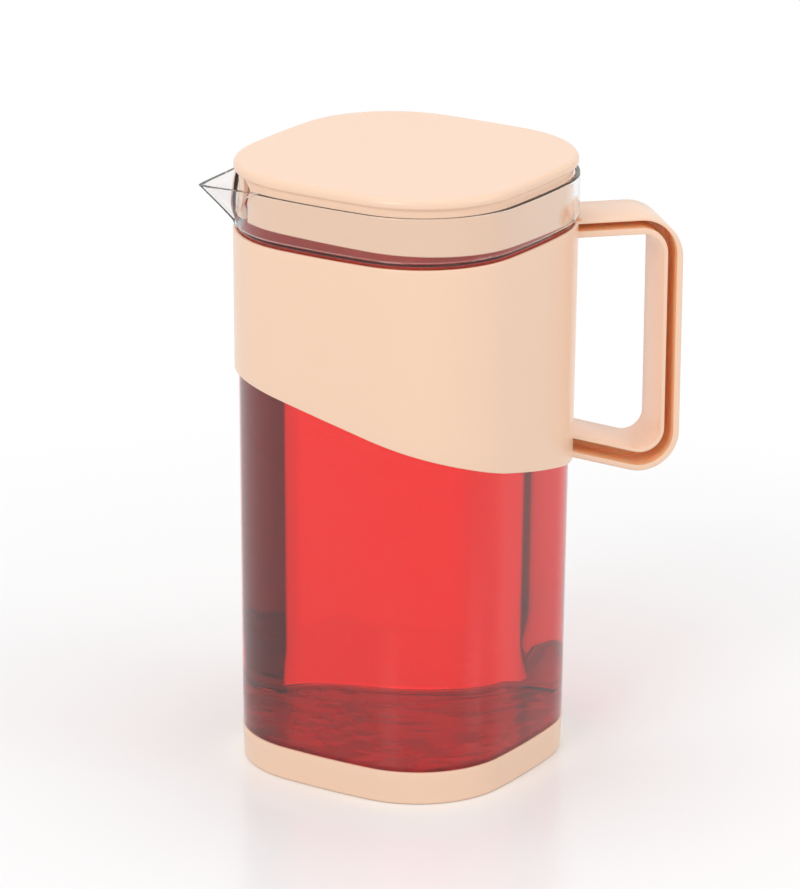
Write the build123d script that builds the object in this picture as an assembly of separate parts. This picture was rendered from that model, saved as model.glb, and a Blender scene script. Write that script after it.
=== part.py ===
from build123d import *
import math
import os

# Millimetres, +Z up, base underside at Z = 0, spout towards -X, handle towards +X.
# The plan is a rounded square with its corners on the X and Y axes.

# Plan outline, measured at the rim
RIM_HALF_WIDTH = 60.0
SIDE_RADIUS = 320.0
CORNER_RADIUS = 42.5
SIDE_SPAN = SIDE_RADIUS - RIM_HALF_WIDTH
CORNER_REACH = SIDE_RADIUS - CORNER_RADIUS
CORNER_OFFSET = (math.sqrt(2.0 * CORNER_REACH**2 - SIDE_SPAN**2) - SIDE_SPAN) / 2.0
TANGENT_ANGLE = math.degrees(math.atan2(CORNER_OFFSET, CORNER_OFFSET + SIDE_SPAN))
DIAGONAL = 45.0
QUARTER = 90.0

# Jug levels and half widths
BAND_TOP = 233.0
BAND_BOTTOM = 217.0
SHOULDER_BOTTOM = 213.9
BODY_HALF_TOP = 58.15
BODY_HALF_BOTTOM = 56.4
BODY_BOTTOM = 13.4
FOOT_HALF = 54.9
FOOT_BOTTOM = 2.0
WALL = 2.0
FLOOR_TOP = 12.0
FLOOR_THICKNESS = 2.4
FLOOR_ROUND = 4.0
SHOULDER_STEPS = 6
RIM_ROUND = 0.5
RIM_STEPS = 3
BAND_INNER_HALF = RIM_HALF_WIDTH - WALL
INNER_HALF_TOP = BODY_HALF_TOP - WALL
INNER_HALF_BOTTOM = BODY_HALF_BOTTOM - WALL
INNER_DROP = 1.2

# Spout, a folded lip on the corner at -X
SPOUT_TIP_X = -80.5
SPOUT_TIP_Z = 232.0
SPOUT_BASE_X = -55.0
SPOUT_KEEL_X = -66.2
SPOUT_KEEL_Z = 215.2
SPOUT_LEAN = (SPOUT_TIP_X - SPOUT_KEEL_X) / (SPOUT_TIP_Z - SPOUT_KEEL_Z)
SPOUT_TOP_Z = 236.0
SPOUT_FLARE = 0.98
SPOUT_ROOT_X = -62.5
SPOUT_KEEL_ROUND = 1.6
SPOUT_INNER_ROUND = 0.5
SPOUT_INSET = 2.4

# Handle sleeve
SLEEVE_TOP = 213.6
SLEEVE_LOW = 100.0
SLEEVE_HALF_TOP = 59.7
SLEEVE_DRAFT = 0.0081
SLEEVE_CLEARANCE = 0.1
SLEEVE_EDGE = 0.5
LOWER_EDGE = [
    (-80.0, 161.0),
    (-64.0, 156.8),
    (-39.0, 149.3),
    (-15.7, 141.9),
    (11.5, 133.9),
    (34.0, 126.7),
    (47.0, 122.7),
    (61.0, 118.9),
    (80.0, 114.6),
]

# Handle, a grooved strap in the XZ plane
HANDLE_HALF_WIDTH = 13.5
HANDLE_ROOT_X = 56.0
WEB_HALF = 1.5
STRAP_OUTER_X = 105.8
GROOVE_OUTER_X = 103.3
GROOVE_INNER_X = 99.7
STRAP_INNER_X = 98.0
GROOVE_TOP_Z = 212.4
GROOVE_LOW_Z = 209.5
STRAP_LOW_Z = 206.9
ARM_SLOPE = 0.29
ARM_X = 66.6
ARM_BOTTOM_Z = 118.1
ARM_GROOVE_BOTTOM_Z = 120.5
ARM_GROOVE_TOP_Z = 125.9
ARM_TOP_Z = 127.3
OUTER_BENDS = (16.8, 15.3)
GROOVE_OUTER_BENDS = (14.2, 12.9)
GROOVE_INNER_BENDS = (10.6, 9.2)
INNER_BENDS = (9.0, 7.7)
STRAP_EDGE = 0.6

# Base cap
CAP_TOP = 13.2
CAP_HALF_TOP = 56.6
CAP_HALF_BOTTOM = 55.9
CAP_INNER_HALF = 55.0
CAP_FLOOR = 2.0
CAP_EDGE = 0.8

# Lid
LID_PLATE_BOTTOM = 236.0
LID_TOP = 240.0
LID_HALF = 59.45
LID_EDGE = 2.4
LID_LOWER_EDGE = 1.2
LID_PLATE_THICKNESS = 2.2
SKIRT_HALF = 57.5
SKIRT_WALL = 1.7
SKIRT_MIDDLE_Z = 217.7
SKIRT_SLOPE = 0.03
WINDOW_HALF_WIDTH = 10.9
WINDOW_TOP = 236.0
WINDOW_SHOULDER = 231.0
WINDOW_DEPTH_X = -45.0
WINDOW_RIB = 10.4
FAR = 90.0


def polar(distance, angle):
    """Point in the XY plane from a distance and an angle in degrees."""
    return distance * math.cos(math.radians(angle)), distance * math.sin(math.radians(angle))


def outline(half_width, z):
    """Rounded square face of the given half width at height z."""
    inset = RIM_HALF_WIDTH - half_width
    corner_distance = CORNER_OFFSET * math.sqrt(2.0)
    arcs = []
    for turn in range(4):
        side_angle = DIAGONAL + QUARTER * turn
        side_centre = polar(-SIDE_SPAN, side_angle)
        side_start = side_angle - TANGENT_ANGLE
        arcs.append(CenterArc(side_centre, SIDE_RADIUS - inset, side_start, 2.0 * TANGENT_ANGLE))
        corner_centre = polar(corner_distance, side_angle + DIAGONAL)
        corner_start = side_angle + TANGENT_ANGLE
        corner_sweep = QUARTER - 2.0 * TANGENT_ANGLE
        arcs.append(CenterArc(corner_centre, CORNER_RADIUS - inset, corner_start, corner_sweep))
    return Pos(0, 0, z) * make_face(Curve() + arcs)


def drafted(half_low, z_low, half_high, z_high):
    """Solid between two outlines, with straight drafted walls."""
    return loft([outline(half_low, z_low), outline(half_high, z_high)], ruled=True)


def stacked(sections):
    """Solid through a list of (half width, height) outlines."""
    return loft([outline(half_width, z) for half_width, z in sections], ruled=True)


def shoulder(half_low, z_low, half_high, z_high):
    """Sections of a convex quarter curve from a low outline out to a wide one."""
    sections = []
    for step in range(SHOULDER_STEPS + 1):
        angle = math.radians(QUARTER * step / SHOULDER_STEPS)
        half_width = half_low + (half_high - half_low) * math.sin(angle)
        height = z_high - (z_high - z_low) * math.cos(angle)
        sections.append((half_width, height))
    return sections


def rounded_rim(half_width, round_off):
    """Sections that round a wall over at the rim, outward or inward."""
    sections = []
    for step in range(RIM_STEPS + 1):
        angle = math.radians(QUARTER * step / RIM_STEPS)
        height = BAND_TOP - RIM_ROUND * (1.0 - math.sin(angle))
        sections.append((half_width + round_off * (1.0 - math.cos(angle)), height))
    return sections


def spout_wedge(inset, keel_round):
    """Three-sided wedge of the spout, drawn in by the given inset."""
    faces = []
    for z in (SPOUT_KEEL_Z, SPOUT_TOP_Z):
        nose_x = SPOUT_KEEL_X + SPOUT_LEAN * (z - SPOUT_KEEL_Z) + inset
        half_base = (SPOUT_BASE_X - nose_x) * SPOUT_FLARE
        corners = [(nose_x, 0), (SPOUT_BASE_X, half_base), (SPOUT_BASE_X, -half_base)]
        faces.append(Pos(0, 0, z) * make_face(Polyline(*corners, close=True)))
    wedge = loft(faces, ruled=True)
    keel = wedge.edges().sort_by(Axis.X)[0]
    return fillet(keel, keel_round)


def side_profile(points, half_depth):
    """Prism of a closed XZ polygon, centred on the XZ plane."""
    face = make_face(Polyline(*[(x, 0, z) for x, z in points], close=True))
    return extrude(face, half_depth, both=True)


def rim_slope():
    """Everything above the rim and above the slope of the spout's lip."""
    drop = (BAND_TOP - SPOUT_TIP_Z) * (FAR + SPOUT_ROOT_X) / (SPOUT_ROOT_X - SPOUT_TIP_X)
    points = [
        (SPOUT_ROOT_X, BAND_TOP),
        (-FAR, BAND_TOP - drop),
        (-FAR, BAND_TOP + FAR),
        (FAR, BAND_TOP + FAR),
        (FAR, BAND_TOP),
    ]
    return side_profile(points, FAR)


def make_jug():
    """Clear body: foot ring, floor, drafted walls, shoulder, rim band and spout."""
    foot = drafted(FOOT_HALF, FOOT_BOTTOM, FOOT_HALF, BODY_BOTTOM)
    body = drafted(BODY_HALF_BOTTOM, BODY_BOTTOM, BODY_HALF_TOP, SHOULDER_BOTTOM)
    outer_sections = shoulder(BODY_HALF_TOP, SHOULDER_BOTTOM, RIM_HALF_WIDTH, BAND_BOTTOM)
    outer_sections += rounded_rim(RIM_HALF_WIDTH, -RIM_ROUND)
    band = stacked(outer_sections)
    outer = foot + body + band + spout_wedge(0.0, SPOUT_KEEL_ROUND)

    inner_low = SHOULDER_BOTTOM - INNER_DROP
    inner_high = BAND_BOTTOM - INNER_DROP
    hollow = drafted(INNER_HALF_BOTTOM, FLOOR_TOP, INNER_HALF_TOP, inner_low)
    hollow = fillet(hollow.edges().group_by(Axis.Z)[0], FLOOR_ROUND)
    inner_sections = shoulder(INNER_HALF_TOP, inner_low, BAND_INNER_HALF, inner_high)
    inner_sections += rounded_rim(BAND_INNER_HALF, RIM_ROUND)
    inner_sections.append((BAND_INNER_HALF + RIM_ROUND, SPOUT_TOP_Z))
    hollow = hollow + stacked(inner_sections)
    recess_top = FLOOR_TOP - FLOOR_THICKNESS
    recess_half = FOOT_HALF - WALL
    recess = drafted(recess_half, 0.0, recess_half, recess_top)
    channel = spout_wedge(SPOUT_INSET, SPOUT_INNER_ROUND)
    return outer - hollow - channel - recess - rim_slope()


def make_base_cap():
    """Shallow tray that closes the foot ring of the jug."""
    shell = drafted(CAP_HALF_BOTTOM, 0.0, CAP_HALF_TOP, CAP_TOP)
    shell = fillet(shell.edges().group_by(Axis.Z)[0], CAP_EDGE)
    pocket = drafted(CAP_INNER_HALF, CAP_FLOOR, CAP_INNER_HALF, CAP_TOP + CAP_FLOOR)
    return shell - pocket


def below_lower_edge():
    """Everything under the swept lower edge of the sleeve."""
    curve = Spline(*[(x, 0, z) for x, z in LOWER_EDGE])
    first_x, first_z = LOWER_EDGE[0]
    last_x, last_z = LOWER_EDGE[-1]
    rest = Polyline((last_x, 0, last_z), (last_x, 0, 0), (first_x, 0, 0), (first_x, 0, first_z))
    return extrude(make_face(curve + rest), FAR, both=True)


def arm_height(z_at_arm, x):
    """Height of a line parallel to the lower arm."""
    return z_at_arm - ARM_SLOPE * (x - ARM_X)


def strap_prism(outer_x, top_z, arm_z, bends, half_depth):
    """Prism under the top bar and inside the grip, with its two bends rounded."""
    points = [
        (HANDLE_ROOT_X, 0, top_z),
        (outer_x, 0, top_z),
        (outer_x, 0, arm_height(arm_z, outer_x)),
        (HANDLE_ROOT_X, 0, arm_height(arm_z, HANDLE_ROOT_X)),
    ]
    prism = extrude(make_face(Polyline(*points, close=True)), half_depth, both=True)
    grip_edges = prism.edges().filter_by(Axis.Y).filter_by(lambda e: e.center().X > ARM_X)
    lower_edge, upper_edge = grip_edges.sort_by(Axis.Z)
    prism = fillet(upper_edge, bends[0])
    lower_edge = prism.edges().filter_by(Axis.Y).filter_by(
        lambda e: abs(e.center().X - outer_x) < WEB_HALF
    ).sort_by(Axis.Z)[0]
    return fillet(lower_edge, bends[1])


def make_handle():
    """Strap with a groove along each side, open towards the jug."""
    strap = strap_prism(STRAP_OUTER_X, SLEEVE_TOP, ARM_BOTTOM_Z, OUTER_BENDS, HANDLE_HALF_WIDTH)
    gap = strap_prism(STRAP_INNER_X, STRAP_LOW_Z, ARM_TOP_Z, INNER_BENDS, FAR)
    strap = strap - gap
    strap = fillet(strap.faces().filter_by(Axis.Y).edges(), STRAP_EDGE)
    groove_outer = strap_prism(
        GROOVE_OUTER_X, GROOVE_TOP_Z, ARM_GROOVE_BOTTOM_Z, GROOVE_OUTER_BENDS, FAR
    )
    groove_inner = strap_prism(
        GROOVE_INNER_X, GROOVE_LOW_Z, ARM_GROOVE_TOP_Z, GROOVE_INNER_BENDS, FAR
    )
    groove = groove_outer - groove_inner
    web = Box(4.0 * FAR, 2.0 * WEB_HALF, 8.0 * FAR)
    return strap - (groove - web)


def make_handle_sleeve():
    """Sleeve round the jug with the handle moulded on its corner."""
    half_low = SLEEVE_HALF_TOP - SLEEVE_DRAFT * (SLEEVE_TOP - SLEEVE_LOW)
    shell = drafted(half_low, SLEEVE_LOW, SLEEVE_HALF_TOP, SLEEVE_TOP)
    shell = fillet(shell.edges().group_by(Axis.Z)[-1], SLEEVE_EDGE)
    rise = (BODY_HALF_TOP - BODY_HALF_BOTTOM) / (SHOULDER_BOTTOM - BODY_BOTTOM)
    bore_low = BODY_HALF_TOP - rise * (SHOULDER_BOTTOM - SLEEVE_LOW) + SLEEVE_CLEARANCE
    bore_high = BODY_HALF_TOP + SLEEVE_CLEARANCE
    bore = drafted(bore_low, SLEEVE_LOW, bore_high, SHOULDER_BOTTOM)
    shell = shell - below_lower_edge()
    return shell + make_handle() - bore


def window_cutter():
    """Two arched openings side by side, cut through the skirt at the spout."""
    curve = Spline(
        (0, -WINDOW_HALF_WIDTH, WINDOW_SHOULDER),
        (0, 0, WINDOW_TOP),
        (0, WINDOW_HALF_WIDTH, WINDOW_SHOULDER),
        tangents=[(0, 0, 1), (0, 0, -1)],
    )
    low = SHOULDER_BOTTOM - FAR
    rest = Polyline(
        (0, WINDOW_HALF_WIDTH, WINDOW_SHOULDER),
        (0, WINDOW_HALF_WIDTH, low),
        (0, -WINDOW_HALF_WIDTH, low),
        (0, -WINDOW_HALF_WIDTH, WINDOW_SHOULDER),
    )
    arch = extrude(make_face(curve + rest), -FAR, dir=(1, 0, 0))
    rib = Box(4.0 * FAR, WINDOW_RIB, 8.0 * FAR)
    limit = Pos(WINDOW_DEPTH_X - FAR, 0, 0) * Box(2.0 * FAR, 4.0 * FAR, 8.0 * FAR)
    return (arch & limit) - rib


def below_skirt():
    """Everything under the slightly sloped lower edge of the skirt."""
    points = [
        (-FAR, SKIRT_MIDDLE_Z + SKIRT_SLOPE * FAR),
        (FAR, SKIRT_MIDDLE_Z - SKIRT_SLOPE * FAR),
        (FAR, 0.0),
        (-FAR, 0.0),
    ]
    return side_profile(points, FAR)


def make_lid():
    """Flat plate a little above the rim, on a plain skirt that reaches down inside it."""
    plate = drafted(LID_HALF, LID_PLATE_BOTTOM, LID_HALF, LID_TOP)
    plate = fillet(plate.edges().group_by(Axis.Z)[-1], LID_EDGE)
    plate = fillet(plate.edges().group_by(Axis.Z)[0], LID_LOWER_EDGE)
    low = SHOULDER_BOTTOM - INNER_DROP
    skirt = drafted(SKIRT_HALF, low, SKIRT_HALF, LID_PLATE_BOTTOM + LID_LOWER_EDGE)
    inner_half = SKIRT_HALF - SKIRT_WALL
    hollow = drafted(inner_half, low, inner_half, LID_TOP - LID_PLATE_THICKNESS)
    return plate + skirt - hollow - below_skirt() - window_cutter()


PARTS = {
    "jug": make_jug,
    "handle_sleeve": make_handle_sleeve,
    "base_cap": make_base_cap,
    "lid": make_lid,
}

os.makedirs("parts", exist_ok=True)
for node, make in PARTS.items():
    export_step(make(), "parts/" + node + ".step")
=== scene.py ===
"""A rounded-square pitcher with a handle sleeve, a base cap, a lift-off lid and a red drink."""
import logging
import math
from dataclasses import dataclass, field
from enum import Enum
from typing import Any, Optional, Sequence

import bmesh
import bpy
from mathutils import Matrix, Vector


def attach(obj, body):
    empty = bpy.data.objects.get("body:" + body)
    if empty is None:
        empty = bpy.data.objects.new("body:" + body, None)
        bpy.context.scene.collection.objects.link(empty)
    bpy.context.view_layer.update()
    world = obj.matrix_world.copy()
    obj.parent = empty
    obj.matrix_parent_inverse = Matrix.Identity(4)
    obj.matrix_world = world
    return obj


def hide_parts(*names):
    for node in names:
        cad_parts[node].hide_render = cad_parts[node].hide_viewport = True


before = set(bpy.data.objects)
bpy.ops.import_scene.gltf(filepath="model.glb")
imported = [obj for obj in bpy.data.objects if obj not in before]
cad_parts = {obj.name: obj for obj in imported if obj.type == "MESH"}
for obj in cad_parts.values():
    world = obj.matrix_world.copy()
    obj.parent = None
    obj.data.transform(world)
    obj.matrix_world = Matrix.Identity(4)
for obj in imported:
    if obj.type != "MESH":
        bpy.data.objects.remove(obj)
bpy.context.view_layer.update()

MM = 0.001
LOG = logging.getLogger("pitcher")


class Body(Enum):
    """Moving bodies of the pitcher."""

    PITCHER = "pitcher"
    LID = "lid"


class Slot(Enum):
    """Finishes that the record names."""

    CLEAR = "clear_plastic"
    PEACH = "peach_plastic"


# Shader graphs


class Wire:
    """A shader socket that adds Math nodes when it is used in an expression."""

    def __init__(self, graph: "Graph", socket: bpy.types.NodeSocket) -> None:
        """Keeps the graph and the output socket."""
        self.graph = graph
        self.socket = socket

    def _math(self, operation: str, first: Any, second: Any) -> "Wire":
        """Adds one Math node.

        Args:
            operation: Name of the Math node's operation.
            first: Left value or wire.
            second: Right value or wire.

        Returns:
            The wire that carries the result.
        """
        return self.graph.node("ShaderNodeMath", {"operation": operation}, {0: first, 1: second})

    def __add__(self, other: Any) -> "Wire":
        """Sum."""
        return self._math("ADD", self, other)

    def __radd__(self, other: Any) -> "Wire":
        """Sum, reflected."""
        return self._math("ADD", other, self)

    def __sub__(self, other: Any) -> "Wire":
        """Difference."""
        return self._math("SUBTRACT", self, other)

    def __rsub__(self, other: Any) -> "Wire":
        """Difference, reflected."""
        return self._math("SUBTRACT", other, self)

    def __mul__(self, other: Any) -> "Wire":
        """Product."""
        return self._math("MULTIPLY", self, other)

    def __rmul__(self, other: Any) -> "Wire":
        """Product, reflected."""
        return self._math("MULTIPLY", other, self)

    def __truediv__(self, other: Any) -> "Wire":
        """Quotient."""
        return self._math("DIVIDE", self, other)

    def __rtruediv__(self, other: Any) -> "Wire":
        """Quotient, reflected."""
        return self._math("DIVIDE", other, self)

    def __pow__(self, other: Any) -> "Wire":
        """Power."""
        return self._math("POWER", self, other)

    def at_most(self, other: Any) -> "Wire":
        """Smaller of two values."""
        return self._math("MINIMUM", self, other)

    def at_least(self, other: Any) -> "Wire":
        """Larger of two values."""
        return self._math("MAXIMUM", self, other)

    def between(self, low: float, high: float) -> "Wire":
        """0 below the low value, 1 above the high one, straight in between."""
        return ((self - low) / (high - low)).at_least(0.0).at_most(1.0)


class Graph:
    """Node tree of one material or of the world."""

    def __init__(self, tree: bpy.types.NodeTree) -> None:
        """Clears the tree."""
        self.tree = tree
        self.tree.nodes.clear()

    def node(
        self,
        kind: str,
        settings: Optional[dict[str, Any]] = None,
        inputs: Optional[dict[Any, Any]] = None,
        output: Any = 0,
    ) -> Wire:
        """Adds a node, sets it up and links it.

        Args:
            kind: Blender's node type.
            settings: Attributes of the node, set before its sockets. Stops is a ramp's list.
            inputs: Values or wires by socket name or number.
            output: Name or number of the output that the wire carries.

        Returns:
            The wire of that output.
        """
        made = self.tree.nodes.new(kind)
        for key, value in (settings or {}).items():
            if key == "stops":
                self._ramp(made, value)
            else:
                setattr(made, key, value)
        for key, value in (inputs or {}).items():
            if isinstance(value, Wire):
                self.tree.links.new(value.socket, made.inputs[key])
            else:
                made.inputs[key].default_value = value
        return Wire(self, made.outputs[output])

    def _ramp(self, made: bpy.types.Node, stops: Sequence[tuple[float, tuple]]) -> None:
        """Fills a colour ramp.

        Args:
            made: The ramp node.
            stops: Positions with their colours.
        """
        ramp = made.color_ramp
        while len(ramp.elements) < len(stops):
            ramp.elements.new(0.5)
        for element, (position, colour) in zip(ramp.elements, stops):
            element.position = position
            element.color = colour

    def finish(self, kind: str, surface: Wire) -> None:
        """Adds the output node of that kind and links the surface to it."""
        out = self.tree.nodes.new(kind)
        self.tree.links.new(surface.socket, out.inputs["Surface"])


def new_material(name: str) -> tuple[bpy.types.Material, Graph]:
    """Makes an empty node material.

    Args:
        name: Name of the material.

    Returns:
        The material and its graph.
    """
    material = bpy.data.materials.new(name)
    material.use_nodes = True
    return material, Graph(material.node_tree)


@dataclass(frozen=True)
class MouldedPlastic:
    """Evenly coloured, semi-gloss plastic that lets a little light pass through it."""

    name: str
    colour: tuple[float, float, float]
    deep: tuple[float, float, float]
    mottle: float = 0.6
    scatter: float = 0.0
    scatter_reach: tuple[float, float, float] = (1.0, 0.35, 0.2)
    scatter_depth: float = 3.0 * MM
    roughness: float = 0.26
    sheen_spread: float = 0.05
    cloud_scale: float = 38.0
    grain_scale: float = 900.0
    grain_height: float = 0.00002
    ripple_scale: float = 55.0
    ripple_height: float = 0.00006

    def build(self) -> bpy.types.Material:
        """Makes the material.

        Returns:
            The finished material.
        """
        material, graph = new_material(self.name)
        place = graph.node("ShaderNodeTexCoord", output="Object")
        cloud = graph.node(
            "ShaderNodeTexNoise", {}, {"Vector": place, "Scale": self.cloud_scale, "Detail": 3.0}
        )
        share = (cloud - 0.5) * self.mottle + 0.3
        colour = graph.node(
            "ShaderNodeMix",
            {"data_type": "RGBA"},
            {"Factor": share, 6: (*self.colour, 1.0), 7: (*self.deep, 1.0)},
            output=2,
        )
        grain = graph.node(
            "ShaderNodeTexNoise", {}, {"Vector": place, "Scale": self.grain_scale, "Detail": 4.0}
        )
        ripple = graph.node(
            "ShaderNodeTexNoise", {}, {"Vector": place, "Scale": self.ripple_scale, "Detail": 1.0}
        )
        rough = cloud * self.sheen_spread + (self.roughness - self.sheen_spread / 2.0)
        low = graph.node(
            "ShaderNodeBump",
            {},
            {"Height": ripple, "Distance": self.ripple_height, "Strength": 1.0},
        )
        bump = graph.node(
            "ShaderNodeBump",
            {},
            {"Height": grain, "Distance": self.grain_height, "Strength": 1.0, "Normal": low},
        )
        shader = graph.node(
            "ShaderNodeBsdfPrincipled",
            {},
            {
                "Base Color": colour,
                "Roughness": rough,
                "IOR": 1.47,
                "Subsurface Weight": self.scatter,
                "Subsurface Radius": self.scatter_reach,
                "Subsurface Scale": self.scatter_depth,
                "Normal": bump,
            },
        )
        graph.finish("ShaderNodeOutputMaterial", shader)
        return material


@dataclass(frozen=True)
class ClearStuff:
    """Clear plastic or liquid that refracts, and lets soft light through to what is inside."""

    name: str
    tint: tuple[float, float, float]
    shade: tuple[float, float, float]
    index: float
    roughness: float = 0.01
    ripple_scale: float = 30.0
    ripple_height: float = 0.00002

    def build(self) -> bpy.types.Material:
        """Makes the material.

        Returns:
            The finished material.
        """
        material, graph = new_material(self.name)
        place = graph.node("ShaderNodeTexCoord", output="Object")
        ripple = graph.node(
            "ShaderNodeTexNoise", {}, {"Vector": place, "Scale": self.ripple_scale, "Detail": 2.0}
        )
        bump = graph.node(
            "ShaderNodeBump",
            {},
            {"Height": ripple, "Distance": self.ripple_height, "Strength": 1.0},
        )
        rough = ripple * self.roughness
        shader = graph.node(
            "ShaderNodeBsdfPrincipled",
            {},
            {
                "Base Color": (*self.tint, 1.0),
                "Roughness": rough,
                "IOR": self.index,
                "Transmission Weight": 1.0,
                "Normal": bump,
            },
        )
        passing = graph.node("ShaderNodeBsdfTransparent", {}, {"Color": (*self.shade, 1.0)})
        shadow = graph.node("ShaderNodeLightPath", output="Is Shadow Ray")
        diffuse = graph.node("ShaderNodeLightPath", output="Is Diffuse Ray")
        soft = shadow.at_least(diffuse)
        mixed = graph.node("ShaderNodeMixShader", {}, {0: soft, 1: shader, 2: passing})
        graph.finish("ShaderNodeOutputMaterial", mixed)
        return material


# Meshes


@dataclass(frozen=True)
class Plan:
    """Rounded square of four shallow side arcs and four corner arcs, corners on X and Y."""

    half: float = 60.0 * MM
    side_radius: float = 320.0 * MM
    corner_radius: float = 42.5 * MM

    @property
    def span(self) -> float:
        """Distance from the axis to the centre of a side arc."""
        return self.side_radius - self.half

    @property
    def offset(self) -> float:
        """Offset of a corner arc's centre across each side."""
        reach = self.side_radius - self.corner_radius
        return (math.sqrt(2.0 * reach**2 - self.span**2) - self.span) / 2.0

    @property
    def corner_distance(self) -> float:
        """Distance from the axis to the centre of a corner arc."""
        return self.offset * math.sqrt(2.0)

    def radius(self, angle: float, half: float) -> float:
        """Distance from the axis to the outline.

        Args:
            angle: Direction about +Z, in radians, from +X.
            half: Half width of the outline.

        Returns:
            The distance in metres.
        """
        inset = self.half - half
        turn = (angle - math.pi / 4.0) % (math.pi / 2.0)
        turn = min(turn, math.pi / 2.0 - turn)
        tangent = math.atan2(self.offset, self.offset + self.span)
        side = self.side_radius - inset
        touch_x = side * math.cos(tangent) - self.span
        touch_y = side * math.sin(tangent)
        if turn <= math.atan2(touch_y, touch_x):
            along = self.span * math.cos(turn)
            return math.sqrt(along**2 - self.span**2 + side**2) - along
        corner = self.corner_radius - inset
        along = self.offset * (math.cos(turn) + math.sin(turn))
        return along + math.sqrt(along**2 - 2.0 * self.offset**2 + corner**2)

    def corner_x(self, y: float, half: float) -> float:
        """X of the outline on the corner at +X, at a given y."""
        corner = self.corner_radius - (self.half - half)
        return self.corner_distance + math.sqrt(max(corner**2 - y**2, 0.0))


PLAN = Plan()


class Loft:
    """Skin over rings of points, made by extruding one ring after another."""

    def __init__(self, ring: Sequence[Vector]) -> None:
        """Starts from the first ring."""
        self.mesh = bmesh.new()
        made = bmesh.ops.create_circle(self.mesh, cap_ends=False, segments=len(ring), radius=1.0)
        self.loop: list[bmesh.types.BMVert] = list(made["verts"])
        self.first = list(self.loop)
        self._place(ring)

    def _place(self, ring: Sequence[Vector]) -> None:
        """Moves the current loop onto the ring."""
        for vert, point in zip(self.loop, ring):
            vert.co = point

    def _edges(self, loop: Sequence[bmesh.types.BMVert]) -> list[bmesh.types.BMEdge]:
        """Edges of a closed loop of vertices."""
        pairs = zip(loop, [*loop[1:], loop[0]])
        return [edge for a, b in pairs if (edge := self.mesh.edges.get((a, b))) is not None]

    def add(self, ring: Sequence[Vector]) -> "Loft":
        """Extrudes the current loop to a new ring.

        Args:
            ring: As many points as the first ring has, in the same order.

        Returns:
            This loft.
        """
        made = bmesh.ops.extrude_edge_only(self.mesh, edges=self._edges(self.loop))
        fresh = {item for item in made["geom"] if isinstance(item, bmesh.types.BMVert)}
        following = []
        for vert in self.loop:
            linked = (edge.other_vert(vert) for edge in vert.link_edges)
            following.append(next(other for other in linked if other in fresh))
        self.loop = following
        self._place(ring)
        return self

    def cap(self) -> "Loft":
        """Closes both ends with a face."""
        for loop in (self.first, self.loop):
            bmesh.ops.contextual_create(self.mesh, geom=self._edges(loop))
        return self

    def close(self) -> "Loft":
        """Joins the last loop to the first."""
        edges = self._edges(self.first) + self._edges(self.loop)
        bmesh.ops.bridge_loops(self.mesh, edges=edges)
        return self

    def to_object(self, name: str, sharp_degrees: float = 38.0) -> bpy.types.Object:
        """Turns the skin into a smooth-shaded object with outward normals.

        Args:
            name: Name of the object.
            sharp_degrees: Edges that turn more than this stay sharp.

        Returns:
            The object, linked to the scene.
        """
        return finished_object(self.mesh, name, sharp_degrees)


def finished_object(mesh: bmesh.types.BMesh, name: str, sharp_degrees: float) -> bpy.types.Object:
    """Writes a bmesh to a smooth-shaded object with outward normals.

    Args:
        mesh: The bmesh, which is freed.
        name: Name of the object.
        sharp_degrees: Edges that turn more than this stay sharp.

    Returns:
        The object, linked to the scene.
    """
    bmesh.ops.recalc_face_normals(mesh, faces=mesh.faces)
    data = bpy.data.meshes.new(name)
    mesh.to_mesh(data)
    mesh.free()
    data.shade_smooth()
    data.set_sharp_from_angle(angle=math.radians(sharp_degrees))
    made = bpy.data.objects.new(name, data)
    bpy.context.scene.collection.objects.link(made)
    return made


def carved(target: bpy.types.Object, tool: bpy.types.Object, operation: str) -> bpy.types.Object:
    """Applies one boolean operation and removes the tool.

    Args:
        target: Object that is kept.
        tool: Object that cuts or joins it.
        operation: UNION or DIFFERENCE.

    Returns:
        The target, with its new mesh.
    """
    modifier = target.modifiers.new("carve", "BOOLEAN")
    modifier.operation = operation
    modifier.solver = "EXACT"
    modifier.object = tool
    graph = bpy.context.evaluated_depsgraph_get()
    data = bpy.data.meshes.new_from_object(target.evaluated_get(graph))
    target.modifiers.clear()
    target.data = data
    bpy.data.objects.remove(tool)
    return target


def reshaded(target: bpy.types.Object, sharp_degrees: float = 38.0) -> None:
    """Merges doubles after a cut and shades the object again."""
    mesh = bmesh.new()
    mesh.from_mesh(target.data)
    bmesh.ops.remove_doubles(mesh, verts=mesh.verts, dist=0.000002)
    bmesh.ops.dissolve_degenerate(mesh, edges=mesh.edges, dist=0.000001)
    mesh.to_mesh(target.data)
    mesh.free()
    target.data.shade_smooth()
    target.data.set_sharp_from_angle(angle=math.radians(sharp_degrees))


def steps(low: float, high: float, count: int) -> list[float]:
    """Evenly spaced values from low to high, both included."""
    return [low + (high - low) * index / (count - 1) for index in range(count)]


def quarter(
    start: tuple[float, float], end: tuple[float, float], count: int, upright_first: bool
) -> list[tuple[float, float]]:
    """Points of a quarter ellipse between two profile points.

    Args:
        start: First half width and height.
        end: Last half width and height.
        count: Number of points, ends included.
        upright_first: The curve leaves the start along the height.

    Returns:
        The list of half widths and heights.
    """
    points = []
    for angle in steps(0.0, math.pi / 2.0, count):
        lead, lag = math.sin(angle), 1.0 - math.cos(angle)
        across, along = (lag, lead) if upright_first else (lead, lag)
        points.append(
            (start[0] + (end[0] - start[0]) * across, start[1] + (end[1] - start[1]) * along)
        )
    return points


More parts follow.
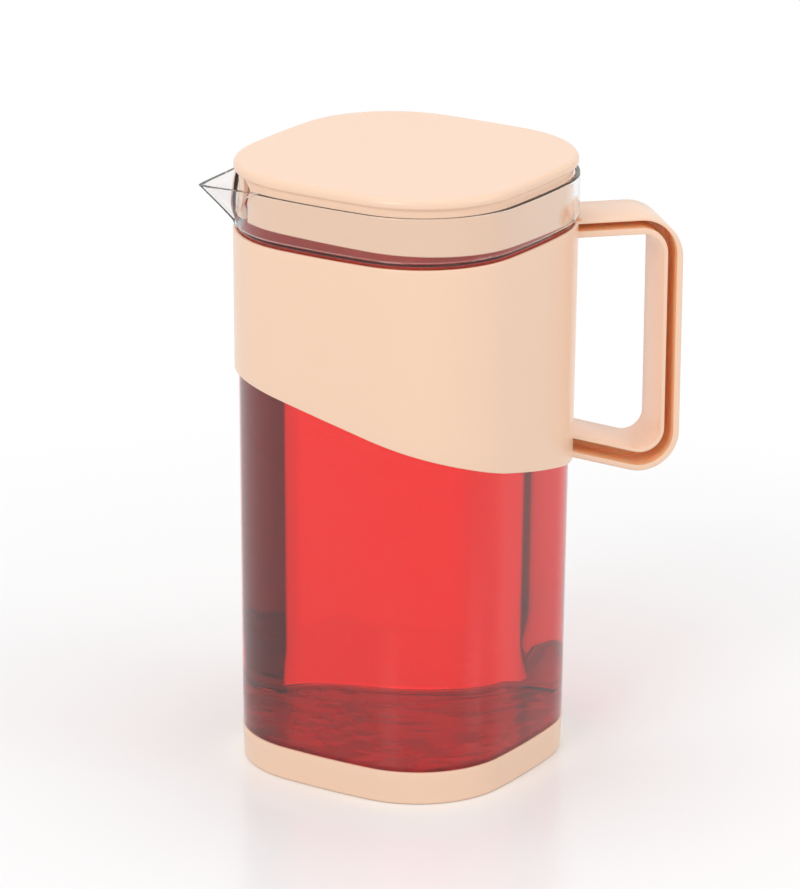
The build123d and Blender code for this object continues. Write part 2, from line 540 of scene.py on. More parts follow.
def plan_ring(half: float, z: float, angles: Sequence[float]) -> list[Vector]:
    """Ring of the plan outline at one height."""
    ring = []
    for angle in angles:
        radius = PLAN.radius(angle, half)
        ring.append(Vector((radius * math.cos(angle), radius * math.sin(angle), z)))
    return ring


def round_angles(count: int) -> list[float]:
    """Evenly spaced directions about the axis."""
    return [2.0 * math.pi * index / count for index in range(count)]


def dressed(
    piece: bpy.types.Object,
    materials: Sequence[bpy.types.Material],
    body: Body,
    node: Optional[str],
) -> bpy.types.Object:
    """Gives a piece its materials, ties it to its body and hides the solid it stands for.

    Args:
        piece: The finished object.
        materials: Its materials, in slot order.
        body: The body it rides on.
        node: The solid it stands for, if any.

    Returns:
        The same piece.
    """
    if not piece.data.materials:
        for material in materials:
            piece.data.materials.append(material)
    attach(piece, body.value)
    if node is not None:
        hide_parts(node)
    LOG.info("%s: %d faces on %s", piece.name, len(piece.data.polygons), body.value)
    return piece


def stacked(rows: Sequence[tuple[float, float]], angles: Sequence[float]) -> Loft:
    """Capped skin over rounded-square rings.

    Args:
        rows: Half width and height of each ring, in order.
        angles: Angles of a ring's points.

    Returns:
        The closed loft.
    """
    loft = Loft(plan_ring(*rows[0], angles))
    for half, z in rows[1:]:
        loft.add(plan_ring(half, z, angles))
    return loft.cap()


# Sub-assemblies


@dataclass
class Spout:
    """Folded V-shaped lip on the corner at -X."""

    keel_x: float = 66.2 * MM
    keel_z: float = 215.2 * MM
    tip_x: float = 82.0 * MM
    tip_z: float = 232.0 * MM
    root_x: float = 62.5 * MM
    flare: float = 0.98
    inset: float = 2.4 * MM
    nose: float = 0.025
    blend: float = 0.7 * MM
    drop: float = 1.0 * MM

    def reach(self, angle: float, z: float, inner: bool) -> float:
        """Distance from the axis to the lip's wall.

        Args:
            angle: Direction from -X, in radians.
            z: Height.
            inner: True for the channel's side of the wall.

        Returns:
            The distance, or 0 where the lip isn't.
        """
        lean = (self.tip_x - self.keel_x) / (self.tip_z - self.keel_z)
        nose_x = self.keel_x + lean * (z - self.keel_z) - (self.inset if inner else 0.0)
        if abs(angle) > 0.7:
            return 0.0
        sine = math.sqrt(math.sin(angle) ** 2 + self.nose**2)
        return self.flare * nose_x / (sine + self.flare * math.cos(angle))

    def merged(self, wall: float, lip: float) -> float:
        """Larger of wall and lip, with a small fillet between them."""
        return (wall + lip + math.hypot(wall - lip, self.blend)) / 2.0


@dataclass
class Jug:
    """Clear body with a foot ring, a raised floor, a stepped-out rim band and the spout."""

    finish: ClearStuff
    spout: Spout = field(default_factory=Spout)
    segments: int = 380
    wall: float = 2.0 * MM
    rim_half: float = 60.0 * MM
    rim_z: float = 233.0 * MM
    rim_round: float = 0.6 * MM
    band_z: float = 217.0 * MM
    shoulder_z: float = 215.2 * MM
    body_half_top: float = 58.15 * MM
    body_half_low: float = 56.4 * MM
    body_z: float = 13.4 * MM
    foot_half: float = 54.9 * MM
    foot_z: float = 2.0 * MM
    floor_z: float = 12.0 * MM
    floor_plate: float = 2.4 * MM
    floor_round: float = 4.0 * MM
    inner_drop: float = 1.2 * MM

    def inner_half(self, z: float) -> float:
        """Half width of the inside wall below the shoulder."""
        low = self.body_half_low - self.wall
        high = self.body_half_top - self.wall
        share = (z - self.floor_z) / (self.shoulder_z - self.inner_drop - self.floor_z)
        return low + (high - low) * share

    def angles(self) -> list[float]:
        """Directions from -X, closer together at the spout."""
        found = []
        for index in range(self.segments):
            share = 2.0 * index / self.segments - 1.0
            found.append(math.pi * (0.25 * share + 0.75 * abs(share) ** 0.6 * share))
        return found

    def ring(self, half: float, z: float, inner: bool) -> list[Vector]:
        """Ring of one wall with the spout drawn out of it.

        Args:
            half: Half width of the plan.
            z: Height.
            inner: True on the inside of the wall.

        Returns:
            The ring's points.
        """
        ring = []
        rise = min(max((z - self.band_z) / (self.rim_z - self.band_z), 0.0), 1.0)
        lip_z = z - self.spout.drop * rise
        for angle in self.angles():
            radius = PLAN.radius(angle + math.pi, half)
            if z > self.spout.keel_z - 2.0 * MM:
                radius = self.spout.merged(radius, self.spout.reach(angle, lip_z, inner))
            x = -radius * math.cos(angle)
            over = max(0.0, -x - self.spout.root_x)
            sink = over / (self.spout.tip_x - self.spout.root_x) * self.spout.drop
            height = z - sink * rise
            ring.append(Vector((x, -radius * math.sin(angle), height)))
        return ring

    def profile(self) -> list[tuple[float, float, bool]]:
        """Half widths and heights from the floor's inside, over the rim, to the underside."""
        low_half = self.inner_half(self.floor_z)
        top_half = self.body_half_top - self.wall
        inner_low = self.shoulder_z - self.inner_drop
        inner_high = self.band_z - self.inner_drop
        band_half = self.rim_half - self.wall
        edge = self.rim_z - self.rim_round
        start = (low_half - self.floor_round, self.floor_z)
        corner = (self.inner_half(self.floor_z + self.floor_round), self.floor_z + self.floor_round)
        inside = [(start[0] - 1.0 * MM, self.floor_z)]
        inside += quarter(start, corner, 9, False)
        inside += [(self.inner_half(z), z) for z in steps(corner[1] + 1.0 * MM, inner_low, 12)]
        inside += quarter((top_half, inner_low), (band_half, inner_high), 8, False)[1:]
        inside += [(band_half, z) for z in steps(inner_high + 0.4 * MM, edge, 26)]
        lip = (band_half + self.rim_round, self.rim_z)
        inside += quarter((band_half, edge), lip, 5, True)[1:]
        outside = quarter(
            (self.rim_half - self.rim_round, self.rim_z), (self.rim_half, edge), 5, False
        )
        outside += [(self.rim_half, z) for z in steps(edge, self.band_z, 26)[1:]]
        shoulder = quarter(
            (self.rim_half, self.band_z), (self.body_half_top, self.shoulder_z), 10, True
        )
        outside += shoulder[1:]
        low_edge = self.body_z + 0.4 * MM
        walls = steps(self.shoulder_z - 0.5 * MM, low_edge, 14)
        rise = (self.body_half_top - self.body_half_low) / (self.shoulder_z - self.body_z)
        outside += [(self.body_half_low + rise * (z - self.body_z), z) for z in walls]
        edge_half = self.body_half_low - 0.4 * MM
        outside += quarter(outside[-1], (edge_half, self.body_z), 4, True)[1:]
        outside += [(self.foot_half + 0.2 * MM, self.body_z)]
        outside += [(self.foot_half, self.body_z - 0.3 * MM)]
        outside += [(self.foot_half, self.foot_z + 0.4 * MM)]
        outside += [(self.foot_half - 0.4 * MM, self.foot_z)]
        recess = self.foot_half - self.wall
        outside += [(recess + 0.4 * MM, self.foot_z), (recess, self.foot_z + 0.4 * MM)]
        ceiling = self.floor_z - self.floor_plate
        outside += [(recess, ceiling - 0.6 * MM), (recess - 0.6 * MM, ceiling)]
        outside += [(recess - 2.0 * MM, ceiling)]
        return [(h, z, True) for h, z in inside] + [(h, z, False) for h, z in outside]

    def build(self) -> bpy.types.Object:
        """Builds the clear body.

        Returns:
            The dressed piece.
        """
        rows = self.profile()
        loft = Loft(self.ring(*rows[0]))
        for row in rows[1:]:
            loft.add(self.ring(*row))
        piece = loft.cap().to_object("clear_jug", 50.0)
        return dressed(piece, [self.finish.build()], Body.PITCHER, "jug")


@dataclass
class Drink:
    """Red drink up to a guessed level behind the sleeve, and a dark mottled sheet on its floor that
    is a painted shade.

    Its skin lies a little inside the thickness of the clear wall, so that no air shows between.
    """

    finish: ClearStuff
    shade_sheet: MouldedPlastic
    jug: Jug
    # Place of the dark sheet that stands in for the shade seen through the floor (painted shade).
    shade_sheet_inset: float = 2.2 * MM
    shade_sheet_gap: float = 0.05 * MM
    shade_sheet_depth: float = 0.6 * MM
    level: float = 170.0 * MM
    overlap: float = 0.15 * MM
    meniscus: float = 1.2 * MM
    segments: int = 320

    def build(self) -> bpy.types.Object:
        """Builds the drink.

        Returns:
            The dressed piece.
        """
        jug = self.jug
        angles = round_angles(self.segments)
        low = jug.floor_z - self.overlap
        foot = jug.inner_half(jug.floor_z) - jug.floor_round + self.overlap
        bend_z = jug.floor_z + jug.floor_round
        bend = (jug.inner_half(bend_z) + self.overlap, bend_z)
        rows = [(foot - 1.0 * MM, low)]
        rows += quarter((foot, low), bend, 9, False)
        top = jug.inner_half(self.level) + self.overlap
        for z in steps(bend_z + 1.0 * MM, self.level, 12):
            rows.append((jug.inner_half(z) + self.overlap, z))
        dip = self.level - self.meniscus
        rows += quarter((top, self.level), (top - 2.0 * self.meniscus, dip), 5, True)[1:]
        rows.append((top - 3.5 * self.meniscus, dip))
        piece = stacked(rows, angles).to_object("red_drink", 50.0)
        self.build_shade_sheet()
        return dressed(piece, [self.finish.build()], Body.PITCHER, None)

    def build_shade_sheet(self) -> bpy.types.Object:
        """Builds the thin dark mottled sheet on the jug's floor, a painted shade that stands in for
        the shade seen through the floor.

        Returns:
            The dressed piece.
        """
        angles = round_angles(self.segments)
        half = self.jug.inner_half(self.jug.floor_z) - self.shade_sheet_inset
        low = self.jug.floor_z + self.shade_sheet_gap
        high = low + self.shade_sheet_depth
        rows = [(half - 2.0 * self.shade_sheet_depth, low), (half - self.shade_sheet_depth, low)]
        rows += [(half, (low + high) / 2.0), (half - self.shade_sheet_depth, high)]
        rows += [(half - 2.0 * self.shade_sheet_depth, high)]
        piece = stacked(rows, angles).to_object("painted_shade_sheet", 50.0)
        return dressed(piece, [self.shade_sheet.build()], Body.PITCHER, None)


@dataclass
class HandleSleeve:
    """Sleeve round the jug with the grooved handle moulded on its corner."""

    finish: MouldedPlastic
    # Painted shade: a deeper orange for the grooves that stands in for light bounced inside the
    # recess.
    groove_painted_shade: MouldedPlastic
    # Painted shade: a deeper orange for the faces round the jug, standing in for light bounced in
    # and passed through the plastic.
    inside_painted_shade: MouldedPlastic
    segments: int = 300
    top_z: float = 213.2 * MM
    half_top: float = 59.7 * MM
    draft: float = 0.0081
    bore_top: float = 58.25 * MM
    bore_draft: float = 0.00873
    edge: float = 0.6 * MM
    half_width: float = 13.5 * MM
    web_half: float = 1.5 * MM
    root_x: float = 61.0 * MM
    arm_slope: float = 0.29
    arm_x: float = 66.6 * MM
    lip_round: float = 0.6 * MM
    groove_round: float = 0.25 * MM
    lower_edge: tuple[tuple[float, float], ...] = (
        (-80.0, 161.0),
        (-64.0, 156.8),
        (-39.0, 149.3),
        (-15.7, 141.9),
        (11.5, 133.9),
        (34.0, 126.7),
        (47.0, 122.7),
        (61.0, 118.9),
        (80.0, 114.6),
    )
    # Outline of the strap: greatest x, top z, arm z and the two bend radii, in millimetres
    outer: tuple[float, ...] = (105.8, 213.6, 118.1, 16.8, 15.3)
    groove_out: tuple[float, ...] = (103.3, 212.4, 120.5, 14.2, 12.9)
    groove_in: tuple[float, ...] = (99.7, 209.5, 125.9, 10.6, 9.2)
    inner: tuple[float, ...] = (98.0, 206.9, 127.3, 9.0, 7.7)

    def low_z(self, x: float) -> float:
        """Height of the swept lower edge at a given x.

        Args:
            x: Place along the X axis.

        Returns:
            The height, on a smooth curve through the listed points.
        """
        points = [(px * MM, pz * MM) for px, pz in self.lower_edge]
        for index in range(1, len(points) - 2):
            if x <= points[index + 1][0] or index == len(points) - 3:
                before, left, right, after = points[index - 1 : index + 3]
                width = right[0] - left[0]
                share = (x - left[0]) / width
                slope_a = (right[1] - before[1]) / (right[0] - before[0]) * width
                slope_b = (after[1] - left[1]) / (after[0] - left[0]) * width
                square, cube = share**2, share**3
                return (
                    (2.0 * cube - 3.0 * square + 1.0) * left[1]
                    + (cube - 2.0 * square + share) * slope_a
                    + (3.0 * square - 2.0 * cube) * right[1]
                    + (cube - square) * slope_b
                )
        return points[0][1]

    def shell_ring(self, share: float, lift: float, depth: float) -> list[Vector]:
        """Ring of the sleeve.

        Args:
            share: 0 at the lower edge, 1 at the top.
            lift: Height added to that.
            depth: 0 on the outside, 1 on the inside.

        Returns:
            The ring's points.
        """
        ring = []
        for angle in round_angles(self.segments):
            guess = PLAN.radius(angle, self.half_top) * math.cos(angle)
            low = self.low_z(guess)
            z = low + (self.top_z - low) * share + lift
            outside = self.half_top - self.draft * (self.top_z - z)
            inside = self.bore_top - self.bore_draft * (self.top_z - z)
            radius = PLAN.radius(angle, outside + (inside - outside) * depth)
            ring.append(Vector((radius * math.cos(angle), radius * math.sin(angle), z)))
        return ring

    def shell(self) -> bpy.types.Object:
        """Skin of the sleeve with rounded edges."""
        rows: list[tuple[float, float, float]] = []
        rows += [(share, self.edge, 0.0) for share in steps(0.0, 0.93, 12)]
        rows += [(1.0, -3.0 * MM, 0.0), (1.0, -self.edge, 0.0)]
        for depth, fall in ((0.03, 0.62), (0.12, 0.29), (0.25, 0.08), (0.4, 0.0)):
            rows.append((1.0, -self.edge * fall, depth))
        rows += [(1.0, 0.0, 0.7), (1.0, -0.1 * MM, 0.9), (1.0, -0.4 * MM, 1.0)]
        rows += [(share, 0.0, 1.0) for share in steps(0.97, 0.03, 6)]
        rows += [(0.0, 0.4 * MM, 1.0), (0.0, 0.1 * MM, 0.92), (0.0, 0.0, 0.75)]
        for depth, fall in ((0.45, 0.0), (0.28, 0.08), (0.13, 0.29), (0.03, 0.62)):
            rows.append((0.0, self.edge * fall, depth))
        loft = Loft(self.shell_ring(*rows[0]))
        for row in rows[1:]:
            loft.add(self.shell_ring(*row))
        return loft.close().to_object("sleeve_with_handle")

    def strap_path(self, line: tuple[float, ...]) -> list[Vector]:
        """Points of one outline of the strap, from the top root round to the lower root.

        Args:
            line: Greatest x, top z, arm z and the two bend radii, in millimetres.

        Returns:
            The points in the XZ plane.
        """
        far_x, top_z, arm_z, bend_a, bend_b = (value * MM for value in line)
        stretch = math.sqrt(1.0 + self.arm_slope**2)
        lean = math.atan(self.arm_slope)

        def arm(x: float) -> float:
            """Height of the arm's line at x."""
            return arm_z - self.arm_slope * (x - self.arm_x)

        top_centre = Vector((far_x - bend_a, 0.0, top_z - bend_a))
        low_x = far_x - bend_b
        low_centre = Vector((low_x, 0.0, arm(low_x) + bend_b * stretch))
        path = [Vector((x, 0.0, top_z)) for x in steps(self.root_x, far_x - bend_a, 7)]
        for turn in steps(math.pi / 2.0, 0.0, 15)[1:]:
            reach = Vector((math.cos(turn), 0.0, math.sin(turn))) * bend_a
            path.append(top_centre + reach)
        path += [Vector((far_x, 0.0, z)) for z in steps(top_centre.z, low_centre.z, 9)[1:]]
        for turn in steps(0.0, -math.pi / 2.0 - lean, 15)[1:]:
            reach = Vector((math.cos(turn), 0.0, math.sin(turn))) * bend_b
            path.append(low_centre + reach)
        path += [Vector((x, 0.0, arm(x))) for x in steps(path[-1].x, self.root_x, 7)[1:]]
        return path

    def strap_section(self) -> list[tuple[int, float, float]]:
        """Half of the strap's section, from the outer face to the inner face at +Y.

        Returns:
            Outline number, millimetres from it towards the inside, and y.
        """
        wide, web, lip, fine = self.half_width, self.web_half, self.lip_round, self.groove_round
        half: list[tuple[int, float, float]] = [(0, 0.0, wide - lip)]
        for turn in (30.0, 60.0, 90.0):
            sine, cosine = math.sin(math.radians(turn)), math.cos(math.radians(turn))
            half.append((0, lip * (1.0 - cosine), wide - lip + lip * sine))
        half += [(1, -fine, wide), (1, -0.3 * fine, wide - 0.3 * fine), (1, 0.0, wide - fine)]
        half += [(1, 0.0, web + 0.5 * MM), (1, 0.5 * MM, web)]
        half += [(2, -0.5 * MM, web), (2, 0.0, web + 0.5 * MM)]
        half += [(2, 0.0, wide - fine), (2, 0.3 * fine, wide - 0.3 * fine), (2, fine, wide)]
        for turn in (90.0, 60.0, 30.0):
            sine, cosine = math.sin(math.radians(turn)), math.cos(math.radians(turn))
            half.append((3, -lip * (1.0 - cosine), wide - lip + lip * sine))
        half.append((3, 0.0, wide - lip))
        return half

    def strap(self) -> bpy.types.Object:
        """Grooved strap of the handle, a little longer than needed at its roots."""
        lines = (self.outer, self.groove_out, self.groove_in, self.inner)
        paths = [self.strap_path(line) for line in lines]
        half = self.strap_section()
        section = half + [(line, shift, -y) for line, shift, y in reversed(half)]

        def ring(index: int) -> list[Vector]:
            """Points of the section at one place on the path."""
            inward = (paths[3][index] - paths[0][index]).normalized()
            across = Vector((0.0, 1.0, 0.0))
            return [
                paths[line][index] + inward * shift + across * y for line, shift, y in section
            ]

        loft = Loft(ring(0))
        for index in range(1, len(paths[0])):
            loft.add(ring(index))
        return loft.cap().to_object("strap", 30.0)

    def bore(self) -> bpy.types.Object:
        """Solid of the space that the jug takes up inside the sleeve."""
        angles = round_angles(self.segments)
        rows = []
        for z in (90.0 * MM, 230.0 * MM):
            rows.append((self.bore_top - self.bore_draft * (self.top_z - z), z))
        return stacked(rows, angles).to_object("bore")

    def mark_inside(self, piece: bpy.types.Object) -> None:
        """Gives the faces round the jug, and the top edge, the painted shade of the inside, a
        deeper orange that stands in for light bounced in and passed through the plastic.
        """
        slack = 0.25 * MM
        for face in piece.data.polygons:
            centre = face.center
            angle = math.atan2(centre.y, centre.x)
            bore = PLAN.radius(angle, self.bore_top - self.bore_draft * (self.top_z - centre.z))
            if math.hypot(centre.x, centre.y) < bore + slack:
                face.material_index = 2

    def mark_groove(self, piece: bpy.types.Object) -> None:
        """Gives the faces inside the handle's grooves the painted shade, a deeper orange that
        stands in for light bounced inside the recess.
        """
        inset = 0.35 * MM
        for face in piece.data.polygons:
            centre = face.center
            beyond = centre.x > PLAN.corner_x(centre.y, self.half_top) - 0.2 * MM
            sunk = abs(centre.y) < self.half_width - inset
            if not beyond or not sunk or abs(centre.y) < self.web_half - inset:
                continue
            if self.in_groove(centre.x / MM, centre.z / MM):
                face.material_index = 1

    def in_groove(self, x: float, z: float) -> bool:
        """Whether a point of the XZ plane, in millimetres, lies between the groove's walls."""
        slack = 0.06

        def inside(line: tuple[float, ...], grow: float) -> bool:
            """Whether the point is inside one outline of the strap."""
            far_x, top_z, arm_z, bend_a, bend_b = line
            stretch = math.sqrt(1.0 + self.arm_slope**2)
            arm = arm_z - self.arm_slope * (x - self.arm_x / MM)
            if x > far_x + grow or z > top_z + grow or z < arm - grow * stretch:
                return False
            top = (far_x - bend_a, top_z - bend_a)
            if x > top[0] and z > top[1]:
                return math.hypot(x - top[0], z - top[1]) <= bend_a + grow
            low_x = far_x - bend_b
            low_arm = arm_z - self.arm_slope * (low_x - self.arm_x / MM)
            low = (low_x, low_arm + bend_b * stretch)
            lean = math.atan(self.arm_slope)
            turn = math.atan2(z - low[1], x - low[0])
            if -math.pi / 2.0 - lean < turn < 0.0:
                return math.hypot(x - low[0], z - low[1]) <= bend_b + grow
            return True

        return inside(self.groove_out, slack) and not inside(self.groove_in, -slack)

    def build(self) -> bpy.types.Object:
        """Builds the sleeve with its handle.

        Returns:
            The dressed piece.
        """
        piece = carved(self.shell(), self.strap(), "UNION")
        piece = carved(piece, self.bore(), "DIFFERENCE")
        reshaded(piece)
        piece.data.materials.clear()
        piece.data.materials.append(self.finish.build())
        piece.data.materials.append(self.groove_painted_shade.build())
        piece.data.materials.append(self.inside_painted_shade.build())
        self.mark_groove(piece)
        self.mark_inside(piece)
        return dressed(piece, [], Body.PITCHER, "handle_sleeve")


@dataclass
class BaseCap:
    """Shallow tray that closes the foot of the jug."""

    finish: MouldedPlastic
    inside_painted_shade: MouldedPlastic
    segments: int = 300
    top_z: float = 13.2 * MM
    half_top: float = 56.6 * MM
    half_low: float = 55.9 * MM
    inner_half: float = 55.0 * MM
    floor: float = 2.0 * MM
    edge: float = 1.0 * MM
    lip: float = 0.35 * MM

    def build(self) -> bpy.types.Object:
        """Builds the base cap.

        Returns:
            The dressed piece.
        """
        rows = [(self.half_low - 4.0 * MM, 0.0)]
        rows += quarter((self.half_low - self.edge, 0.0), (self.half_low, self.edge), 7, False)
        lip_z = self.top_z - self.lip
        for z in steps(self.edge + 1.0 * MM, lip_z, 5):
            share = (z - self.edge) / (self.top_z - self.edge)
            rows.append((self.half_low + (self.half_top - self.half_low) * share, z))
        rows += quarter(rows[-1], (self.half_top - self.lip, self.top_z), 5, True)[1:]
        rows += [(self.inner_half + 0.2 * MM, self.top_z), (self.inner_half, lip_z)]
        rows += [(self.inner_half, self.floor + 0.5 * MM)]
        rows += [(self.inner_half - 0.5 * MM, self.floor), (self.inner_half - 3.0 * MM, self.floor)]
        angles = round_angles(self.segments)
        piece = stacked(rows, angles).to_object("foot_cap")
        finishes = [self.finish.build(), self.inside_painted_shade.build()]
        # The tray's inside under the jug gets a painted shade, a darker deep orange that stands in
        # for the shade under the jug.
        for face in piece.data.polygons:
            centre = face.center
            inner = PLAN.radius(math.atan2(centre.y, centre.x), self.inner_half + 0.15 * MM)
            if centre.z > 0.5 * self.floor and math.hypot(centre.x, centre.y) < inner:
                face.material_index = 1
        return dressed(piece, finishes, Body.PITCHER, "base_cap")


@dataclass
class Lid:
    """Flat plate above the rim with a plain skirt and two arched windows at the spout."""

    finish: MouldedPlastic
    inside_painted_shade: MouldedPlastic
    segments: int = 320
    plate_z: float = 236.0 * MM
    top_z: float = 240.0 * MM
    half: float = 59.45 * MM
    edge: float = 2.4 * MM
    lower_edge: float = 1.2 * MM
    plate: float = 2.2 * MM
    skirt_half: float = 57.5 * MM
    skirt_wall: float = 1.7 * MM
    skirt_z: float = 217.7 * MM
    skirt_slope: float = 0.03
    window_half: float = 10.9 * MM
    window_top: float = 236.0 * MM
    window_shoulder: float = 231.0 * MM
    window_rib: float = 10.4 * MM

    def rings(self) -> list[list[Vector]]:
        """Rings from the top's middle, round the edge and the skirt, to the ceiling."""
        angles = round_angles(self.segments)
        rounding = self.half - self.edge
        rows = [(rounding - 6.0 * MM, self.top_z), (rounding - 1.5 * MM, self.top_z)]
        rows += quarter((rounding, self.top_z), (self.half, self.top_z - self.edge), 10, False)
        under = (self.half - self.lower_edge, self.plate_z)
        rows += quarter((self.half, self.plate_z + self.lower_edge), under, 7, True)
        rows += [(self.skirt_half + 0.2 * MM, self.plate_z)]
        rows += [(self.skirt_half, self.plate_z - 0.2 * MM)]
        rings = [plan_ring(half, z, angles) for half, z in rows]
        inner = self.skirt_half - self.skirt_wall
        foot = [(self.skirt_half, 1.5), (self.skirt_half, 0.3), (self.skirt_half - 0.3 * MM, 0.0)]
        foot += [(inner + 0.3 * MM, 0.0), (inner, 0.3), (inner, 1.5)]
        for half, lift in foot:
            ring = plan_ring(half, 0.0, angles)
            for point in ring:
                point.z = self.skirt_z - self.skirt_slope * point.x + lift * MM
            rings.append(ring)
        ceiling = self.top_z - self.plate
        ends = [(inner, ceiling - 2.0 * MM)]
        ends += quarter((inner, ceiling - 1.0 * MM), (inner - 1.0 * MM, ceiling), 5, True)
        ends += [(inner - 3.0 * MM, ceiling)]
        rings += [plan_ring(half, z, angles) for half, z in ends]
        return rings

    def window_cutter(self) -> bpy.types.Object:
        """Two arched prisms, one on each side of the middle rib."""
        rise = self.window_top - self.window_shoulder
        edge_y = self.window_rib / 2.0
        first = math.acos(edge_y / self.window_half)
        section = [(edge_y, 205.0 * MM), (self.window_half, 205.0 * MM)]
        for turn in steps(0.0, first, 14):
            y = self.window_half * math.cos(turn)
            section.append((y, self.window_shoulder + rise * math.sin(turn)))
        mesh = bmesh.new()
        for side in (1.0, -1.0):
            verts = [mesh.verts.new((-90.0 * MM, y * side, z)) for y, z in section]
            face = mesh.faces.new(verts)
            made = bmesh.ops.extrude_face_region(mesh, geom=[face])
            moved = [item for item in made["geom"] if isinstance(item, bmesh.types.BMVert)]
            bmesh.ops.translate(mesh, vec=(45.0 * MM, 0.0, 0.0), verts=moved)
        return finished_object(mesh, "windows", 30.0)

    def build(self) -> bpy.types.Object:
        """Builds the lid.

        Returns:
            The dressed piece.
        """
        rings = self.rings()
        loft = Loft(rings[0])
        for ring in rings[1:]:
            loft.add(ring)
        piece = loft.cap().to_object("lid_with_skirt")
        piece = carved(piece, self.window_cutter(), "DIFFERENCE")
        reshaded(piece)
        piece.data.materials.clear()
        for finish in (self.finish, self.inside_painted_shade):
            piece.data.materials.append(finish.build())
        # Faces inside the skirt and under the plate get the painted inside shade, a deeper orange
        # that stands in for light bounced inside the lid.
        inner = self.skirt_half - self.skirt_wall + 0.2 * MM
        for face in piece.data.polygons:
            centre = face.center
            within = PLAN.radius(math.atan2(centre.y, centre.x), inner)
            below = centre.z < self.top_z - 0.5 * self.plate
            inside = below and math.hypot(centre.x, centre.y) < within
            face.material_index = 1 if inside else 0
        return dressed(piece, [], Body.LID, "lid")


# Studio


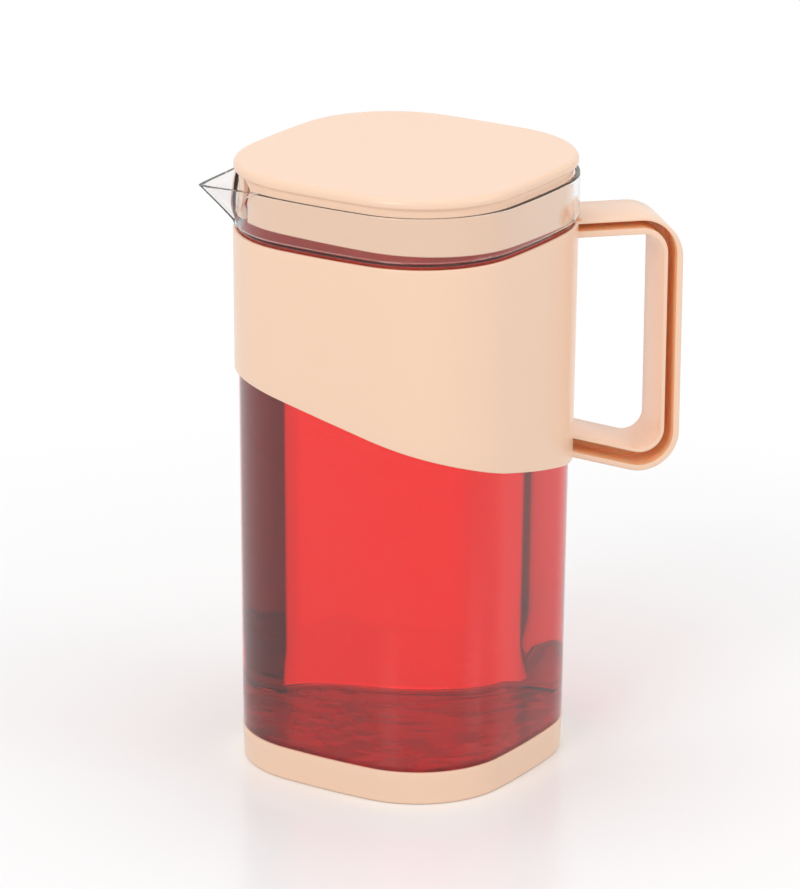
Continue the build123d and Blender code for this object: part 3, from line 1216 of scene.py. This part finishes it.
@dataclass
class Studio:
    """Plain white floor, soft lamps and the camera."""

    floor_size: float = 14.0
    world_level: float = 0.7
    floor_grey: float = 0.82
    near: float = 0.16
    far: float = 0.42
    camera_place: tuple[float, float, float] = (-0.4229, -1.8493, 0.756)
    pitch: float = 18.42
    yaw: float = 12.826
    roll: float = 0.38
    focal_pixels: float = 5195.0
    frame_height: float = 889.0
    sensor: float = 36.0

    def seen(self, graph: Graph) -> Wire:
        """1 for rays that show the studio itself, 0 for rays that carry its light."""
        camera = graph.node("ShaderNodeLightPath", output="Is Camera Ray")
        glossy = graph.node("ShaderNodeLightPath", output="Is Glossy Ray")
        through = graph.node("ShaderNodeLightPath", output="Is Transmission Ray")
        return camera.at_least(glossy).at_least(through)

    def floor(self) -> None:
        """White floor that keeps the shadow near the pitcher and is plain white far away."""
        mesh = bmesh.new()
        bmesh.ops.create_grid(mesh, x_segments=8, y_segments=8, size=self.floor_size / 2.0)
        plate = finished_object(mesh, "studio_floor", 30.0)
        material, graph = new_material("white_floor")
        seen = self.seen(graph)
        place = graph.node("ShaderNodeTexCoord", output="Object")
        grain = graph.node("ShaderNodeTexNoise", {}, {"Vector": place, "Scale": 60.0})
        away = graph.node("ShaderNodeVectorMath", {"operation": "LENGTH"}, {0: place}, "Value")
        fade = away.between(self.near, self.far)
        colour = graph.node(
            "ShaderNodeMix",
            {"data_type": "RGBA"},
            {"Factor": seen, 6: (*[self.floor_grey] * 3, 1.0), 7: (1.0, 1.0, 1.0, 1.0)},
            output=2,
        )
        lit = graph.node(
            "ShaderNodeBsdfPrincipled",
            {},
            {"Base Color": colour, "Roughness": grain * 0.04 + 0.2, "IOR": 1.35},
        )
        plain = graph.node(
            "ShaderNodeEmission", {}, {"Color": (1.0, 1.0, 1.0, 1.0), "Strength": 1.0}
        )
        mixed = graph.node("ShaderNodeMixShader", {}, {0: fade * seen, 1: lit, 2: plain})
        graph.finish("ShaderNodeOutputMaterial", mixed)
        plate.data.materials.append(material)

    def world(self) -> None:
        """White behind the object and an even level of light all round."""
        world = bpy.data.worlds.new("studio")
        world.use_nodes = True
        bpy.context.scene.world = world
        graph = Graph(world.node_tree)
        level = self.seen(graph) * (1.0 - self.world_level) + self.world_level
        shader = graph.node(
            "ShaderNodeBackground", {}, {"Color": (1.0, 1.0, 1.0, 1.0), "Strength": level}
        )
        graph.finish("ShaderNodeOutputWorld", shader)

    def lamp(
        self,
        name: str,
        place: tuple[float, float, float],
        size: tuple[float, float],
        power: float,
    ) -> None:
        """Adds one soft rectangular lamp that faces the pitcher.

        Args:
            name: Name of the lamp.
            place: Its centre.
            size: Width and height.
            power: Watts.
        """
        data = bpy.data.lights.new(name, "AREA")
        data.shape = "RECTANGLE"
        data.size, data.size_y = size
        data.energy = power
        lamp = bpy.data.objects.new(name, data)
        towards = Vector((0.0, 0.0, 0.12)) - Vector(place)
        turn = towards.to_track_quat("-Z", "Y").to_matrix().to_4x4()
        lamp.matrix_world = Matrix.Translation(place) @ turn
        bpy.context.scene.collection.objects.link(lamp)

    def lamps(self) -> None:
        """Key from the upper left, fill from the right and a top light."""
        self.lamp("key", (-1.3, -1.3, 1.3), (0.8, 1.1), 12.0)
        self.lamp("fill", (1.4, -1.0, 0.9), (0.7, 1.2), 5.0)
        self.lamp("top", (0.0, 0.2, 1.8), (1.2, 1.2), 4.0)

    def camera(self) -> None:
        """Camera at the place and angle solved from the picture."""
        data = bpy.data.cameras.new("view")
        data.sensor_fit = "VERTICAL"
        data.sensor_height = self.sensor
        data.lens = self.focal_pixels / self.frame_height * self.sensor
        data.clip_end = 50.0
        eye = bpy.data.objects.new("view", data)
        turn = (
            Matrix.Rotation(math.radians(-self.yaw), 4, "Z")
            @ Matrix.Rotation(math.radians(90.0 - self.pitch), 4, "X")
            @ Matrix.Rotation(math.radians(self.roll), 4, "Z")
        )
        eye.matrix_world = Matrix.Translation(self.camera_place) @ turn
        bpy.context.scene.collection.objects.link(eye)
        bpy.context.scene.camera = eye

    def build(self) -> None:
        """Sets up the whole studio."""
        self.floor()
        self.world()
        self.lamps()
        self.camera()
        bpy.context.scene.view_settings.view_transform = "Standard"


def main() -> None:
    """Builds every piece in order, then the studio."""
    logging.basicConfig(level=logging.INFO, format="%(message)s")
    peach = MouldedPlastic("peach_gloss", (0.965, 0.68, 0.50), (0.95, 0.66, 0.48))
    # Painted shade: a more saturated orange for the grooves, standing in for light bounced inside
    # the recess.
    groove = MouldedPlastic("peach_painted_groove_shade", (1.0, 0.60, 0.34), (1.0, 0.56, 0.30), scatter=1.0)
    # Painted shade: a deep orange for inner faces of the sleeve and lid, standing in for light
    # bounced in and passed through the plastic.
    inside = MouldedPlastic("peach_painted_inside_shade", (0.98, 0.40, 0.13), (0.95, 0.36, 0.11), scatter=1.0)
    # Painted shade: a darker deep orange for the tray's inside under the jug.
    under_jug_shade = MouldedPlastic("peach_painted_shade_under_jug", (0.8, 0.3, 0.14), (0.6, 0.2, 0.1))
    # Painted shade: a dark mottled red for the sheet on the jug's floor, standing in for the shade
    # seen through the floor.
    shade_sheet = MouldedPlastic(
        "painted_shade_sheet", (0.34, 0.02, 0.015), (0.05, 0.003, 0.003), 3.0, cloud_scale=110.0
    )
    clear = ClearStuff("clear_gloss", (0.975, 0.965, 0.96), (0.95, 0.94, 0.93), 1.49)
    red = ClearStuff("red_drink", (0.93, 0.006, 0.003), (0.9, 0.12, 0.08), 1.34)
    jug = Jug(clear)
    jug.build()
    Drink(red, shade_sheet, jug).build()
    HandleSleeve(peach, groove, inside).build()
    BaseCap(peach, under_jug_shade).build()
    Lid(peach, inside).build()
    Studio().build()


if __name__ == "__main__":
    main()
